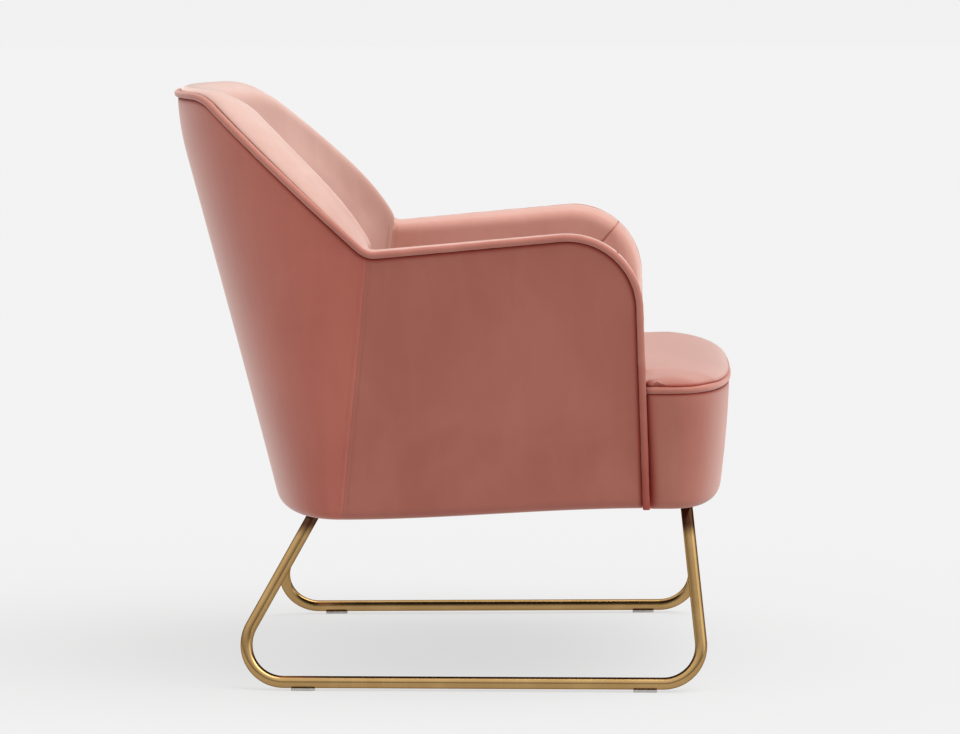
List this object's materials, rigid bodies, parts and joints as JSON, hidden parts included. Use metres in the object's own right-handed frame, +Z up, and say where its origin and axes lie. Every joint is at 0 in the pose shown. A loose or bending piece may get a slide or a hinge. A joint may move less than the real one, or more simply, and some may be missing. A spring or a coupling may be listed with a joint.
{
  "type": "upholstered armchair",
  "caption": "Velvet armchair with a raked wrap-round shell, piped edges and a bow-fronted seat on two brass-finished sled loops.",
  "frame": {"origin": "on the floor, under the middle of the chair's overall box", "axes": "+Z up, -Y the way the sitter faces, +X to the sitter's left"},
  "size_m": [0.705, 0.7639, 0.791],
  "materials": {
    "velvet": "dusty rose cotton velvet, short pile",
    "brass_tube": "satin brass-plated steel tube",
    "nylon": "grey nylon",
    "steel": "zinc-plated steel",
    "timber": "bare plywood and hardwood",
    "foam": null,
    "webbing": "woven elastic webbing",
    "black_cloth": "black spun-bonded cloth"
  },
  "bodies": {
    "root": {"arm_foam_left": "foam", "arm_foam_right": "foam", "arm_panel_left": "timber", "arm_panel_right": "timber", "back_foam": "foam", "back_lower_rail": "timber", "back_post_left": "timber", "back_post_right": "timber", "back_strap_left_1": "webbing", "back_strap_left_2": "webbing", "back_strap_right_1": "webbing", "back_strap_right_2": "webbing", "back_top_rail": "timber", "base_loop_left": "brass_tube", "base_loop_right": "brass_tube", "corner_block_front_left": "timber", "corner_block_front_right": "timber", "corner_block_rear_left": "timber", "corner_block_rear_right": "timber", "dust_cover": "black_cloth", "front_band_cover": "velvet", "glide_front_left": "nylon", "glide_front_right": "nylon", "glide_rear_left": "nylon", "glide_rear_right": "nylon", "inside_arm_cover_left": "velvet", "inside_arm_cover_right": "velvet", "inside_back_cover": "velvet", "leg_bolt_front_left_1": "steel", "leg_bolt_front_left_2": "steel", "leg_bolt_front_right_1": "steel", "leg_bolt_front_right_2": "steel", "leg_bolt_rear_left_1": "steel", "leg_bolt_rear_left_2": "steel", "leg_bolt_rear_right_1": "steel", "leg_bolt_rear_right_2": "steel", "leg_plate_front_left": "steel", "leg_plate_front_right": "steel", "leg_plate_rear_left": "steel", "leg_plate_rear_right": "steel", "outside_arm_cover_left": "velvet", "outside_arm_cover_right": "velvet", "outside_back_cover": "velvet", "seat_cover": "velvet", "seat_foam": "foam", "seat_front_rail": "timber", "seat_rear_rail": "timber", "seat_side_rail_left": "timber", "seat_side_rail_right": "timber", "seat_spring_1": "steel", "seat_spring_2": "steel", "seat_spring_3": "steel", "seat_spring_4": "steel", "seat_welt": "velvet", "shell_welt": "velvet"}
  },
  "joints": []
}
